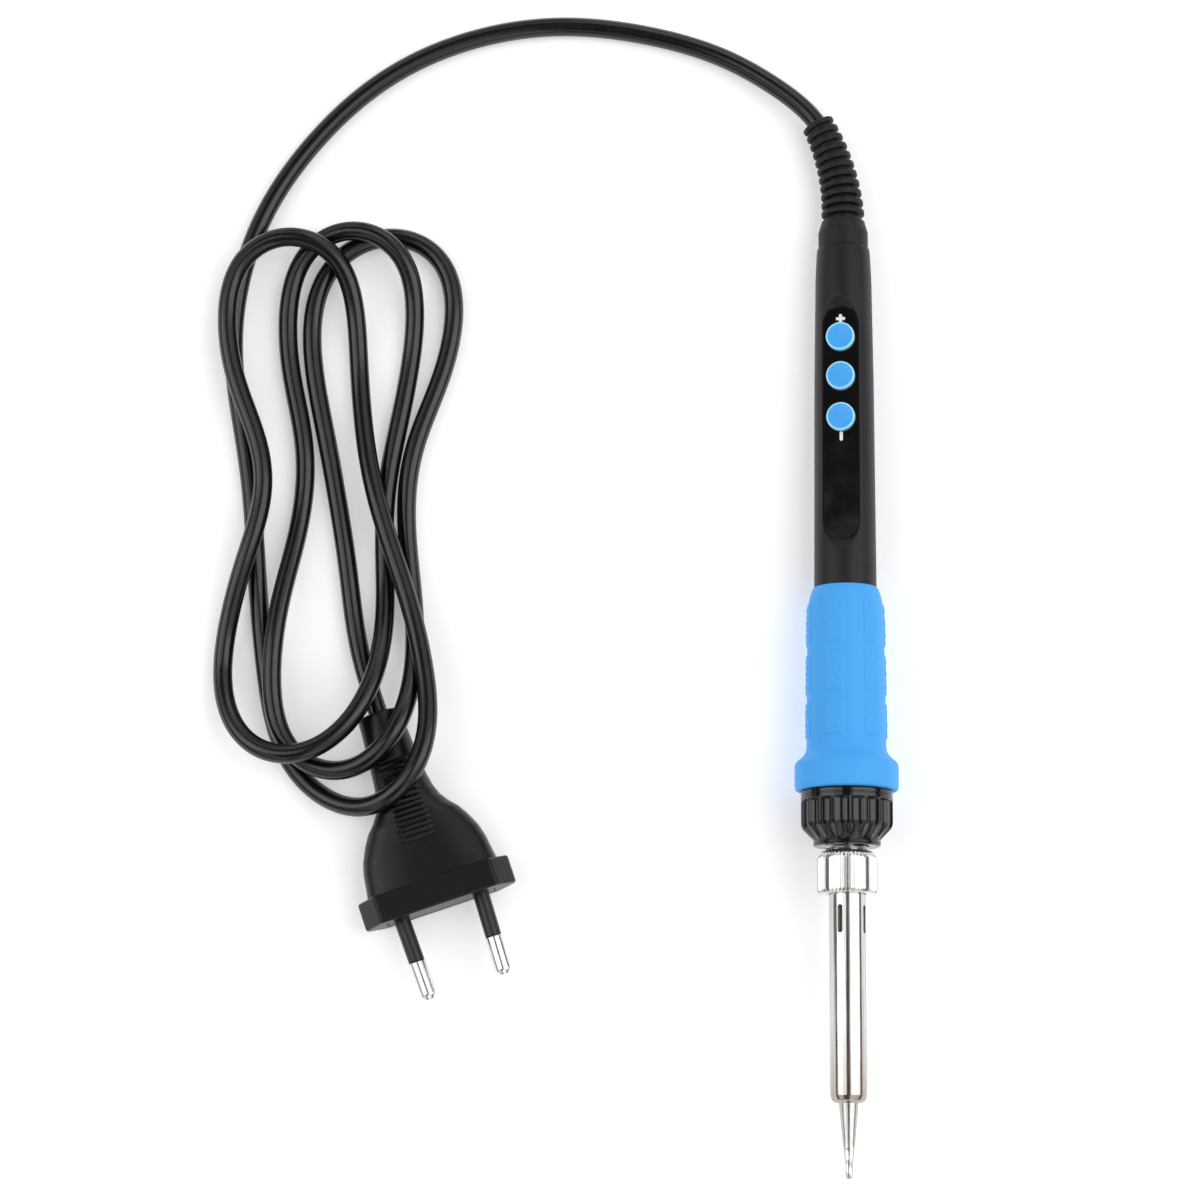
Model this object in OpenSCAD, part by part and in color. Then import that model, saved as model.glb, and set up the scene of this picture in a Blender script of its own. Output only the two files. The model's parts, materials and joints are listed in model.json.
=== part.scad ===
// Mains soldering iron with a digital display and three buttons.
// The iron lies along Y with its tip towards -Y and its buttons up.
// Lengths are in millimetres.

/* [Tip and heater] */
// Length of the tip that stands out of the barrel
tip_reach = 16.6; // [14:0.1:20]
// Radius of the tip where it leaves the barrel
tip_root_r = 2.2; // [1.8:0.05:2.3]
// Radius of the tip's end
tip_end_r = 0.77; // [0.3:0.01:1.2]
// Outer radius of the tip's hollow shank
shank_r = 3.25; // [3.1:0.05:3.3]
// Radius of the ceramic heater rod
heater_r = 1.93; // [1.5:0.01:1.95]
// Outer radius of the steel barrel
barrel_r = 4.12; // [4.05:0.01:4.18]

/* [Nut and collar] */
// Outer radius of the knurled barrel nut
nut_r = 6.7; // [6.3:0.1:7]
// Outer radius of the fluted locking collar
collar_r = 10.3; // [10:0.1:10.5]
// Number of scooped flutes around the collar
flutes = 18; // [12:1:20]

/* [Handle] */
// Radius of the handle where it leaves the grip
handle_front_r = 7.05; // [6.9:0.05:7.1]
// Radius of the handle at its cord end
handle_rear_r = 6.0; // [5.9:0.05:6.4]
// Radius of the grip's front flange
flange_r = 11.65; // [10.8:0.05:12.5]
// Angle that the button side is turned about the handle's axis
roll = 12; // [0:1:15]

/* [Panel and buttons] */
// Half width of the glossy panel
panel_hw = 4.1; // [3.6:0.1:4.2]
// Radius of the buttons
button_r = 3.25; // [2.6:0.05:3.3]
// Height of the button tops above the handle's axis
button_top = 6.5; // [5.9:0.1:7]

/* [Cord and plug] */
// Radius of the cord
cord_r = 2.2; // [2:0.1:2.2]
// Angle that the strain relief bends through
boot_bend = 28; // [28:1:28]
// Width of the plug's face
plug_w = 35.3; // [34:0.1:35.3]
// Thickness of the plug's face
plug_t = 13.7; // [13.5:0.1:13.7]
// Radius of the plug's pins
pin_r = 2.0; // [1.95:0.05:2]
// Length of the plug's pins from the face
pin_len = 19; // [18:0.5:19]

/* [Hidden] */
$fn = 64;

// stations along the axis, measured from the end of the tip
s_barrel = tip_reach;
s_lip = s_barrel + 1.8;
s_nut = 62.6;
s_nipple = 64.7;
s_collar = 73.2;
s_seat = 77.3;
s_grip = 85.7;
s_grip_end = 131.9;
s_panel = 142.4;
s_panel_end = 196.6;
s_rear = 211.6;
s_boot = 218.5;
s_buttons = [189.4, 180.2, 170.6];
s_plus = 193.75;
s_minus = 166.2;
bore_r = 5.6;
panel_y = 5.2;
floor_y = 4.65;
ceil_y = 3.9;
board_y = -0.4;

// how the iron lies: it rests on the grip's flange and on the strain relief's collar
boot_r = 5.7;
s_rest_a = 92.1;
s_rest_b = 215.5;
tilt = atan((flange_r - boot_r) / (s_rest_b - s_rest_a));
z_tip = flange_r * cos(tilt) + s_rest_a * sin(tilt);
y_tip = -121.7;
boot_R = 50;

module lay() {
    translate([0, y_tip, z_tip]) rotate([-tilt, 0, 0]) rotate([-90, 0, 0]) rotate([0, 0, 180 - roll]) children();
}
function lay_point(p) = [-p[0], y_tip + p[2] * cos(tilt) + p[1] * sin(tilt), z_tip - p[2] * sin(tilt) + p[1] * cos(tilt)];
function lay_dir(p) = lay_point(p) - lay_point([0, 0, 0]);

// ---- small helpers ----
module ring(z0, z1, ro, ri) {
    difference() {
        translate([0, 0, z0]) cylinder(r = ro, h = z1 - z0);
        translate([0, 0, z0 - 1]) cylinder(r = ri, h = z1 - z0 + 2);
    }
}
module rod(z0, z1, r, x = 0, y = 0) { translate([x, y, z0]) cylinder(r = r, h = z1 - z0); }
module block(x0, x1, y0, y1, z0, z1) { translate([x0, y0, z0]) cube([x1 - x0, y1 - y0, z1 - z0]); }
// a long oblong with round ends, along the axis, between two heights
module oblong(hw, y0, y1, z0, z1) {
    translate([0, y0, 0]) rotate([-90, 0, 0]) {
        translate([0, -(z0 + hw), 0]) cylinder(r = hw, h = y1 - y0);
        translate([0, -(z1 - hw), 0]) cylinder(r = hw, h = y1 - y0);
        translate([-hw, -(z1 - hw), 0]) cube([2 * hw, z1 - z0 - 2 * hw, y1 - y0]);
    }
}
// a cylinder that stands up from height y0 to y1 at station s
module post(s, y0, y1, r, r2 = -1) {
    translate([0, y0, s]) rotate([-90, 0, 0]) cylinder(r1 = r, r2 = r2 < 0 ? r : r2, h = y1 - y0);
}
function unit(v) = v / norm(v);

// ---- tip, barrel and nut ----
module tip() {
    color("lightgray") lay() difference() {
        rotate_extrude() polygon([[0, 0], [tip_end_r * 0.6, 0.08], [tip_end_r * 0.92, 0.35], [tip_end_r, 0.7],
            [tip_root_r, tip_reach], [tip_root_r + 0.1, s_lip + 0.05], [shank_r, s_lip + 0.1], [shank_r, 44], [0, 44]]);
        rod(s_lip + 3, 45, heater_r + 0.07);
    }
}
module tip_barrel() {
    color("silver") lay() difference() {
        rotate_extrude() polygon([[0, s_barrel], [2.9, s_barrel], [3.4, s_barrel + 0.15], [3.85, s_barrel + 0.7],
            [barrel_r - 0.02, s_barrel + 1.6], [barrel_r, s_barrel + 2.4], [barrel_r, 62.4], [barrel_r - 0.17, 62.4], [barrel_r - 0.17, 63.95],
            [4.85, 63.95], [4.85, 64.65], [0, 64.65]]);
        rod(s_barrel - 1, s_lip + 1, tip_root_r + 0.3);
        rod(s_lip, 66, shank_r + 0.15);
        for (a = [0, 90, 180, 270]) rotate([0, 0, a - 16]) {
            block(-0.6, 0.6, 2.5, 5, 54.4, 59.5);
            translate([0, 2.5, 54.4]) rotate([-90, 0, 0]) cylinder(r = 0.6, h = 2.5);
            translate([0, 2.5, 59.5]) rotate([-90, 0, 0]) cylinder(r = 0.6, h = 2.5);
        }
    }
}
module tip_nut() {
    color("gainsboro") lay() difference() {
        rotate_extrude() polygon([[0, s_nut], [6.0, s_nut], [6.5, s_nut + 0.35], [nut_r, s_nut + 1], [nut_r, s_nut + 8.0],
            [nut_r - 0.85, s_nut + 9.4], [0, s_nut + 9.4]]);
        rod(s_nut - 1, s_nut + 3, 4.25);
        rod(s_nut + 1.3, s_nut + 12, 5.0);
    }
}

// ---- heater unit ----
module heater_nipple() {
    color("darkgray") lay() difference() {
        union() {
            rod(s_nipple, 76, 4.93);
            rod(75.9, 77.25, 7);
        }
        rod(s_nipple - 1, 79, 2.6);
    }
}
module heater_rod() {
    color("white") lay() rod(22.4, s_seat, heater_r);
}
module heater_base() {
    color("ivory") lay() union() {
        rod(s_seat, 79.4, 5.3);
        rod(79.4, 81.2, 3.6);
    }
}
module heater_leads() {
    color("gold") lay() for (x = [-1.3, 1.3]) rod(81.2, 103, 0.4, x, 0.05);
}
module lead_sleeves() {
    color("antiquewhite") lay() for (x = [-1.3, 1.3]) translate([x, 0.05, 0]) ring(82, 98.5, 0.8, 0.45);
}

// ---- locking collar ----
module locking_collar() {
    color("dimgray") lay() difference() {
        rotate_extrude() polygon([[0, s_collar], [7.1, s_collar], [7.45, s_collar + 0.25], [7.58, s_collar + 0.7], [7.5, s_collar + 1.5],
            [10.1, 77.5], [collar_r, 78], [collar_r, 85.4], [collar_r - 0.2, 85.6], [0, 85.6]]);
        rod(s_collar - 1, 78, 5.0);
        rod(75.8, 78, 7.15);
        rod(s_seat, 87, 8.37);
        for (i = [0 : flutes - 1]) rotate([0, 0, 12 + i * 360 / flutes])
            rod(74.9, 83.5, 2.2, 11.75, 0);
    }
}

// ---- grip sleeve ----
module grip_sleeve() {
    color("deepskyblue") lay() difference() {
        rotate_extrude() polygon([[0, s_grip], [10.9, s_grip], [11.45, s_grip + 0.3], [flange_r, s_grip + 0.9], [flange_r, 91.4],
            [flange_r - 0.2, 91.9], [11.1, 92.3], [9.6, 93.7], [9.05, 94.8], [8.95, 95.6], [9.15, 97.4], [9.15, 104.9], [8.85, 105.6], [8.85, 107],
            [9.05, 107.7], [9.0, 115.9], [8.7, 116.6], [8.7, 118.2], [8.87, 118.9], [8.8, 125.6], [8.5, 128.2], [8.1, 130], [7.6, 131.3], [7.25, s_grip_end], [0, s_grip_end]]);
        rod(s_grip - 1, s_grip_end + 1, handle_front_r + 0.05);
        rod(s_grip - 1, 88, 8.4);
    }
}

// ---- handle ----
module handle_shell() {
    color([0.17, 0.17, 0.19]) lay() {
        difference() {
            rotate_extrude() polygon([[0, s_seat], [8.1, s_seat], [8.3, s_seat + 0.3], [8.3, 87.9], [handle_front_r, 87.9], [handle_front_r, 133],
                [6.78, 180], [6.42, 205], [handle_rear_r + 0.1, 210.6], [handle_rear_r, 211.3], [handle_rear_r - 0.15, s_rear], [0, s_rear]]);
            // long bore with a flat ceiling below the panel
            difference() {
                rod(s_seat - 1, 203, bore_r);
                block(-7, 7, ceil_y, 8, s_panel - 2, s_panel_end + 2);
            }
            rod(202, s_rear + 1, 5.0);
            // pocket of the panel, with sloping ends
            oblong(panel_hw + 0.06, floor_y, 9, s_panel - 0.06, s_panel_end + 0.06);
            post(s_panel + panel_hw, panel_y, panel_y + 2, panel_hw + 0.05, panel_hw + 2.6);
            post(s_panel_end - panel_hw, panel_y, panel_y + 2, panel_hw + 0.05, panel_hw + 3.6);
            // button holes and display window
            for (s = s_buttons) post(s, 3, 9, button_r + 0.12);
            block(-3.1, 3.1, 3, 6, 147, 162);
        }
        // rails that carry the circuit board
        intersection() {
            union() {
                block(4.3, 6.2, -2.6, board_y - 1.25, 100, 200);
                block(-6.2, -4.3, -2.6, board_y - 1.25, 100, 200);
            }
            rod(90, 201, bore_r + 0.2);
        }
    }
}

// ---- panel, marks and buttons ----
module panel_cover() {
    color([0.05, 0.05, 0.06]) lay() difference() {
        oblong(panel_hw, floor_y, panel_y, s_panel, s_panel_end);
        for (s = s_buttons) post(s, 3, 9, button_r + 0.1);
    }
}
module panel_marks() {
    color("white") lay() {
        block(-1.05, 1.05, panel_y, panel_y + 0.06, s_plus - 0.35, s_plus + 0.35);
        block(-0.35, 0.35, panel_y, panel_y + 0.06, s_plus - 1.05, s_plus + 1.05);
        block(-0.38, 0.38, panel_y, panel_y + 0.06, s_minus - 1.05, s_minus + 1.05);
    }
}
module button(s) {
    color("dodgerblue") lay() {
        post(s, 3.05, 3.8, 3.8);
        post(s, 3.7, button_top - 0.35, button_r);
        post(s, button_top - 0.35, button_top, button_r, button_r - 0.35);
        post(s, 2.0, 3.1, 1.3);
    }
}
module button_plus() { button(s_buttons[0]); }
module button_power() { button(s_buttons[1]); }
module button_minus() { button(s_buttons[2]); }
module plunger(s) { color("black") lay() post(s, 0.5, 2.0, 1.1); }
module plunger_plus() { plunger(s_buttons[0]); }
module plunger_power() { plunger(s_buttons[1]); }
module plunger_minus() { plunger(s_buttons[2]); }
module tact_switches() {
    color("gray") lay() for (s = s_buttons) difference() {
        block(-2.25, 2.25, board_y, board_y + 1.7, s - 2.25, s + 2.25);
        post(s, board_y + 0.3, board_y + 3, 1.2);
    }
}

// ---- electronics ----
module circuit_board() {
    color("green") lay() block(-5.0, 5.0, board_y - 1.2, board_y, 99, 200.5);
}
module display_backing() {
    color("gainsboro") lay() block(-3.6, 3.6, board_y, 2.5, 145.5, 163.5);
}
module display_glass() {
    color("darkseagreen") lay() block(-3.0, 3.0, 2.5, 4.6, 147.2, 161.8);
}
module control_chip() {
    color([0.1, 0.1, 0.1]) lay() {
        block(-2.0, 2.0, board_y + 0.1, board_y + 1.6, 124, 132.6);
        for (i = [0 : 6]) block(-3.0, 3.0, board_y, board_y + 0.25, 124.4 + i * 1.27, 124.85 + i * 1.27);
    }
}
module triac() {
    color([0.1, 0.1, 0.1]) lay() {
        block(-3.2, 3.2, board_y, board_y + 2.3, 107, 113);
        block(-2.6, 2.6, board_y, board_y + 0.5, 113, 114.2);
        for (x = [-2.28, 2.28]) block(x - 0.4, x + 0.4, board_y, board_y + 0.5, 104.4, 107);
    }
}
module film_capacitor() {
    color("goldenrod") lay() block(-2.5, 2.5, board_y - 4.3, board_y - 1.2, 184, 196);
}
module round_capacitor() {
    color("navy") lay() rod(170, 180, 1.8, 0, board_y - 3.05);
}
module fuse_resistor() {
    color("tan") lay() {
        rod(158, 165, 1.15, 0, board_y - 2.4);
        rod(154.5, 168.5, 0.3, 0, board_y - 2.4);
        for (s = [154.8, 168.2]) post(s, board_y - 2.5, board_y - 1.2, 0.3);
    }
}
module diodes() {
    color([0.1, 0.1, 0.1]) lay() for (x = [-2.4, 2.4]) {
        rod(136, 140, 0.9, x, board_y - 2.15);
        rod(133.6, 142.4, 0.25, x, board_y - 2.15);
        for (s = [133.85, 142.15]) translate([x, 0, 0]) post(s, board_y - 2.2, board_y - 1.2, 0.25);
    }
}
module mains_leads() {
    color("saddlebrown") lay() for (x = [-1.7, 1.7]) rod(196.8, 205.8, 0.75, x, board_y + 0.8);
}

// ---- strain relief, bent sideways to the cord ----
ribs = 11;
rib_step = boot_bend / ribs;
module along_boot(a) { translate([boot_R, 0, s_boot]) rotate([0, a, 0]) translate([-boot_R, 0, 0]) children(); }
module strain_relief() {
    color([0.15, 0.15, 0.17]) lay() rotate([0, 0, roll]) {
        rod(205.8, s_rear, 4.85);
        rod(s_rear, 215.5, boot_r);
        rod(215.5, s_boot + 0.1, 5.0);
        for (i = [0 : ribs - 1]) {
            along_boot(i * rib_step) cylinder(r = 3.5 - 0.05 * i, h = 1.4);
            along_boot((i + 0.5) * rib_step) translate([0, 0, -0.1]) cylinder(r = 4.95 - 0.115 * i, h = 1.2);
        }
        along_boot(boot_bend - 0.6) translate([0, 0, -0.65]) cylinder(r = 3.5, h = 1.174);
    }
}

// ---- cord ----
// route of the cord on the table, from the strain relief to the plug's neck
route_mid = [
    [-13.5, 127, 4.2], [-25, 135, 3], [-45, 141.5, 2.4], [-68, 143.5, 2.4], [-90, 139, 2.4], [-108, 129.5, 2.4],
    [-123, 115, 2.4], [-133.5, 99, 2.4], [-139, 83, 2.4], [-140.5, 65, 2.4], [-136, 35, 2.4], [-132.5, -1, 2.4],
    [-129, -21, 2.4], [-124, -32, 2.4], [-115, -38.5, 5], [-106, -40, 11], [-99.5, -36, 14.6], [-95.5, -29, 13.8],
    [-94, -19, 12], [-95.5, -7, 9.8], [-98, 4, 8], [-103, 19, 7.2], [-106.5, 30, 7.2], [-109, 41, 5.4],
    [-111, 57, 3], [-112.5, 73, 4], [-115.5, 84, 7.2], [-122, 91, 9.4], [-130, 92, 8.8], [-137.5, 87, 7.6],
    [-141, 77, 7.2], [-140, 60, 7.2], [-134, 43.5, 7.2], [-132.5, 31, 7.2], [-136.5, 16, 7.2], [-141, -5, 3.4],
    [-139.5, -18, 6.2], [-132.5, -27, 10.4], [-122.5, -28.5, 12.6], [-113, -22.5, 11.8], [-107, -12, 9.8], [-104.5, 4, 3.6],
    [-105, 21, 2.4], [-104.5, 35, 2.4], [-101, 54, 2.4], [-99, 71, 2.6], [-101, 85, 6.2], [-107, 93, 7.4],
    [-115, 94.5, 5.2], [-122.5, 90, 4.2], [-127, 80, 3.2], [-127.5, 63, 2.4], [-123.5, 42, 2.4], [-124.5, 25, 2.4],
    [-128.5, 5, 6.2], [-129.5, -11, 7.2], [-126.5, -25, 7.2], [-119, -32, 7.4], [-110, -31, 10.2], [-102.5, -25, 13],
    [-99, -16, 9.6], [-97.5, -3, 4], [-98.5, 11, 2.4], [-100, 26, 2.4], [-98.5, 43, 2.4], [-92.5, 59.5, 2.4],
    [-90, 74, 2.4], [-92, 86, 2.4], [-99, 92, 2.4], [-108, 92, 2.4], [-116.5, 87.5, 2.4], [-121.5, 78, 2.4],
    [-122, 63, 2.4], [-118, 42, 2.4], [-113.5, 17, 2.4], [-110.5, -3, 2.6], [-108, -11.5, 4]
];
boot_end = lay_point([boot_R * (1 - cos(boot_bend)), 0, s_boot + boot_R * sin(boot_bend)]);
boot_out = unit(lay_dir([sin(boot_bend), 0, cos(boot_bend)]));
plug_turn = 19;
plug_rise = 2.6;
plug_face = [-90.5, -62.3, 7.15];
neck_u = 46;
plug_dir = [sin(plug_turn) * cos(plug_rise), -cos(plug_turn) * cos(plug_rise), sin(plug_rise)];
neck_end = plug_face - neck_u * plug_dir;
route = concat([boot_end], route_mid, [neck_end]);
sides = 10;
function tangent(i) = i == 0 ? boot_out : i == len(route) - 1 ? plug_dir
    : unit(unit(route[i + 1] - route[i]) + unit(route[i] - route[i - 1]));
function ring_point(i, k) =
    let (t = tangent(i), sd = unit(cross(t, [0, 0, 1])), up = cross(sd, t), a = 360 * k / sides)
    route[i] + cord_r * (cos(a) * sd + sin(a) * up);
module cord() {
    n = len(route);
    color([0.14, 0.14, 0.15]) polyhedron(
        points = [for (i = [0 : n - 1]) for (k = [0 : sides - 1]) ring_point(i, k)],
        faces = concat(
            [[for (k = [0 : sides - 1]) k]],
            [[for (k = [sides - 1 : -1 : 0]) (n - 1) * sides + k]],
            [for (i = [0 : n - 2]) for (k = [0 : sides - 1])
                [i * sides + k, (i + 1) * sides + k, (i + 1) * sides + (k + 1) % sides]],
            [for (i = [0 : n - 2]) for (k = [0 : sides - 1])
                [i * sides + k, (i + 1) * sides + (k + 1) % sides, i * sides + (k + 1) % sides]]));
}

// ---- plug, with its pins along +Z of its own frame ----
module on_plug() { translate(plug_face) rotate([90 - plug_rise, 0, plug_turn]) children(); }
// sections of the moulded body: distance behind the face, half width, half thickness, squareness
sections = [[6.3, 15.2, 6.5, 3.2], [9, 14.8, 6.4, 3], [12, 14.4, 6.3, 2.9], [15, 13.6, 6.25, 2.8], [18, 12.2, 6.2, 2.6],
    [20.5, 10.7, 6.15, 2.5], [22.5, 8.9, 6.05, 2.3], [24.5, 7.5, 5.95, 2.2], [27, 6.6, 5.85, 2.1], [30, 6.0, 5.75, 2],
    [36, 5.45, 5.4, 2], [42, 5.05, 5.0, 2], [neck_u, 4.85, 4.8, 2]];
sec_n = 32;
function spow(v, e) = (v < 0 ? -1 : 1) * pow(abs(v), e);
function sec_point(j, k) = let (q = sections[j], a = 360 * k / sec_n)
    [q[1] * spow(cos(a), 2 / q[3]), q[2] * spow(sin(a), 2 / q[3]), -q[0]];
module plug_body() {
    m = len(sections);
    color([0.12, 0.12, 0.13]) on_plug() {
        difference() {
            translate([0, 0, -6.4]) linear_extrude(6.4) polygon([[plug_w / 2, 1.2], [13.6, plug_t / 2], [-13.6, plug_t / 2],
                [-plug_w / 2, 1.2], [-plug_w / 2, -1.2], [-13.6, -plug_t / 2], [13.6, -plug_t / 2], [plug_w / 2, -1.2]]);
            block(-12.6, 12.6, -3.6, 3.6, -3, 1);
        }
        polyhedron(
            points = [for (j = [0 : m - 1]) for (k = [0 : sec_n - 1]) sec_point(j, k)],
            faces = concat(
                [[for (k = [sec_n - 1 : -1 : 0]) k]],
                [[for (k = [0 : sec_n - 1]) (m - 1) * sec_n + k]],
                [for (j = [0 : m - 2]) for (k = [0 : sec_n - 1])
                    [j * sec_n + k, (j + 1) * sec_n + (k + 1) % sec_n, (j + 1) * sec_n + k]],
                [for (j = [0 : m - 2]) for (k = [0 : sec_n - 1])
                    [j * sec_n + k, j * sec_n + (k + 1) % sec_n, (j + 1) * sec_n + (k + 1) % sec_n]]));
    }
}
// the pins lean towards each other
module on_pin(side) { translate([side * 9.3, 0, 0]) rotate([0, -side * 1.66, 0]) children(); }
module plug_bridge() {
    color([0.2, 0.2, 0.21]) on_plug() difference() {
        block(-12.5, 12.5, -3.5, 3.5, -3, 0);
        for (sd = [-1, 1]) on_pin(sd) rod(-4, 2, 1.5);
    }
}
module pin_sleeves() {
    color([0.1, 0.1, 0.1]) on_plug() for (sd = [-1, 1]) on_pin(sd) ring(0.15, 10, pin_r - 0.16, 1.5);
}
module plug_pins() {
    color("silver") on_plug() for (sd = [-1, 1]) on_pin(sd) {
        rod(-2.8, 10, 1.5);
        rod(10, pin_len - 0.8, pin_r);
        translate([0, 0, pin_len - 0.8]) cylinder(r1 = pin_r, r2 = pin_r - 0.8, h = 0.8);
    }
}

tip();
tip_barrel();
tip_nut();
heater_nipple();
heater_rod();
heater_base();
heater_leads();
lead_sleeves();
locking_collar();
grip_sleeve();
handle_shell();
panel_cover();
panel_marks();
button_plus();
button_power();
button_minus();
plunger_plus();
plunger_power();
plunger_minus();
tact_switches();
circuit_board();
display_backing();
display_glass();
control_chip();
triac();
film_capacitor();
round_capacitor();
fuse_resistor();
diodes();
mains_leads();
strain_relief();
cord();
plug_body();
plug_bridge();
pin_sleeves();
plug_pins();
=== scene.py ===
import json
import math
import bpy
import bmesh
import numpy as np
from mathutils import Matrix, Vector

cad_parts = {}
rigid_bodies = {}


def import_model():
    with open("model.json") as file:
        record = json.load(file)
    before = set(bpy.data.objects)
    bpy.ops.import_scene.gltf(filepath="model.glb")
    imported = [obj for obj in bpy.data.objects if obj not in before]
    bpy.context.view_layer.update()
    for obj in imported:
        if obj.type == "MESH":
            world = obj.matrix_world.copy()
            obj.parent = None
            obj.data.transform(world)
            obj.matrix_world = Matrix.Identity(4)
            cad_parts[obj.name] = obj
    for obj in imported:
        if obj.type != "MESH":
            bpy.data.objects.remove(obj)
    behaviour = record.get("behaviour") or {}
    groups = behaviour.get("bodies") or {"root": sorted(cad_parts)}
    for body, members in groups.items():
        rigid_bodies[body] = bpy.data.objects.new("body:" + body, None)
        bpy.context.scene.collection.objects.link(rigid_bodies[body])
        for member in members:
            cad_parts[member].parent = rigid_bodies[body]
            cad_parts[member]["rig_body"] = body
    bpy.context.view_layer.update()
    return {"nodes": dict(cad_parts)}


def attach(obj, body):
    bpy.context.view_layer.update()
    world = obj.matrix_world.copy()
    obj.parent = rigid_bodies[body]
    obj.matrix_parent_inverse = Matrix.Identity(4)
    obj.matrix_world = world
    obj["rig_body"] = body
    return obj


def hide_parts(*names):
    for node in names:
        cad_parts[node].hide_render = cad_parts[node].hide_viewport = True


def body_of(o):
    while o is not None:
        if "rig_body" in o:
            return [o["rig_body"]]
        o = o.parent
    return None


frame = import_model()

NODES = frame["nodes"]
scene = bpy.context.scene
MM = 0.001
TAU = 2 * math.pi

# ---------------------------------------------------------------- frame of the iron
# local millimetres: x across, y up through the buttons, z along the axis from the tip's end
TILT = math.atan((11.65 - 5.7) / (215.5 - 92.1))
Z_TIP = 11.65 * math.cos(TILT) + 92.1 * math.sin(TILT)
Y_TIP = -121.7
ROLL = math.radians(12)


def rot_x(a):
    c, s = math.cos(a), math.sin(a)
    return np.array([[1, 0, 0], [0, c, -s], [0, s, c]])


def rot_y(a):
    c, s = math.cos(a), math.sin(a)
    return np.array([[c, 0, s], [0, 1, 0], [-s, 0, c]])


def rot_z(a):
    c, s = math.cos(a), math.sin(a)
    return np.array([[c, -s, 0], [s, c, 0], [0, 0, 1]])


LAY_R = rot_x(-TILT) @ rot_x(-math.pi / 2) @ rot_z(math.pi - ROLL)
LAY_T = np.array([0, Y_TIP, Z_TIP])
FLAT_R = rot_x(-TILT) @ rot_x(-math.pi / 2) @ rot_z(math.pi)


def lay(p):
    """local mm -> row frame, metres"""
    return (np.asarray(p, float) @ LAY_R.T + LAY_T) * MM


def lay_flat(p):
    """as lay, with no roll: the strain relief bends in this frame"""
    return (np.asarray(p, float) @ FLAT_R.T + LAY_T) * MM


PLUG_FACE = np.array([-90.5, -62.3, 7.15])
PLUG_R = rot_z(math.radians(19)) @ rot_x(math.radians(90 - 2.6))


def on_plug(p):
    """plug mm (x across, y up, z along the pins) -> row frame, metres"""
    return (np.asarray(p, float) @ PLUG_R.T + PLUG_FACE) * MM


# ---------------------------------------------------------------- camera
CAM_TARGET = Vector((-0.05552, 0.00848, 0.0))
elev, turn, far = math.radians(81.8), math.radians(0.4226), 0.780
back = Vector((math.sin(turn) * math.cos(elev), -math.cos(turn) * math.cos(elev), math.sin(elev)))
cam_data = bpy.data.cameras.new("camera")
cam_data.sensor_width = 36
cam_data.lens = 102.15
cam_data.clip_start, cam_data.clip_end = 0.02, 20
cam = bpy.data.objects.new("camera", cam_data)
scene.collection.objects.link(cam)
cam.location = CAM_TARGET + back * far
cam.rotation_mode = "QUATERNION"
cam.rotation_quaternion = (-back).to_track_quat("-Z", "Y")
scene.camera = cam

# ---------------------------------------------------------------- the cord's route, as in the CAD model
ROUTE = [(-13.5, 127, 4.2), (-25, 135, 3), (-45, 141.5, 2.4), (-68, 143.5, 2.4), (-90, 139, 2.4), (-108, 129.5, 2.4),
    (-123, 115, 2.4), (-133.5, 99, 2.4), (-139, 83, 2.4), (-140.5, 65, 2.4), (-136, 35, 2.4), (-132.5, -1, 2.4),
    (-129, -21, 2.4), (-124, -32, 2.4), (-115, -38.5, 5), (-106, -40, 11), (-99.5, -36, 14.6), (-95.5, -29, 13.8),
    (-94, -19, 12), (-95.5, -7, 9.8), (-98, 4, 8), (-103, 19, 7.2), (-106.5, 30, 7.2), (-109, 41, 5.4),
    (-111, 57, 3), (-112.5, 73, 4), (-115.5, 84, 7.2), (-122, 91, 9.4), (-130, 92, 8.8), (-137.5, 87, 7.6),
    (-141, 77, 7.2), (-140, 60, 7.2), (-134, 43.5, 7.2), (-132.5, 31, 7.2), (-136.5, 16, 7.2), (-141, -5, 3.4),
    (-139.5, -18, 6.2), (-132.5, -27, 10.4), (-122.5, -28.5, 12.6), (-113, -22.5, 11.8), (-107, -12, 9.8), (-104.5, 4, 3.6),
    (-105, 21, 2.4), (-104.5, 35, 2.4), (-101, 54, 2.4), (-99, 71, 2.6), (-101, 85, 6.2), (-107, 93, 7.4),
    (-115, 94.5, 5.2), (-122.5, 90, 4.2), (-127, 80, 3.2), (-127.5, 63, 2.4), (-123.5, 42, 2.4), (-124.5, 25, 2.4),
    (-128.5, 5, 6.2), (-129.5, -11, 7.2), (-126.5, -25, 7.2), (-119, -32, 7.4), (-110, -31, 10.2), (-102.5, -25, 13),
    (-99, -16, 9.6), (-97.5, -3, 4), (-98.5, 11, 2.4), (-100, 26, 2.4), (-98.5, 43, 2.4), (-92.5, 59.5, 2.4),
    (-90, 74, 2.4), (-92, 86, 2.4), (-99, 92, 2.4), (-108, 92, 2.4), (-116.5, 87.5, 2.4), (-121.5, 78, 2.4),
    (-122, 63, 2.4), (-118, 42, 2.4), (-113.5, 17, 2.4), (-110.5, -3, 2.6), (-108, -11.5, 4)]
CORD_R = 2.2
BOOT_BEND = math.radians(28)
BOOT_RAD = 50.0
S_BOOT = 218.5
boot_end = lay_flat([BOOT_RAD * (1 - math.cos(BOOT_BEND)), 0, S_BOOT + BOOT_RAD * math.sin(BOOT_BEND)]) / MM
boot_out = np.array([math.sin(BOOT_BEND), 0, math.cos(BOOT_BEND)]) @ FLAT_R.T
plug_out = PLUG_R @ np.array([0, 0, 1.0])
neck_end = on_plug([0, 0, -46.0]) / MM


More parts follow.
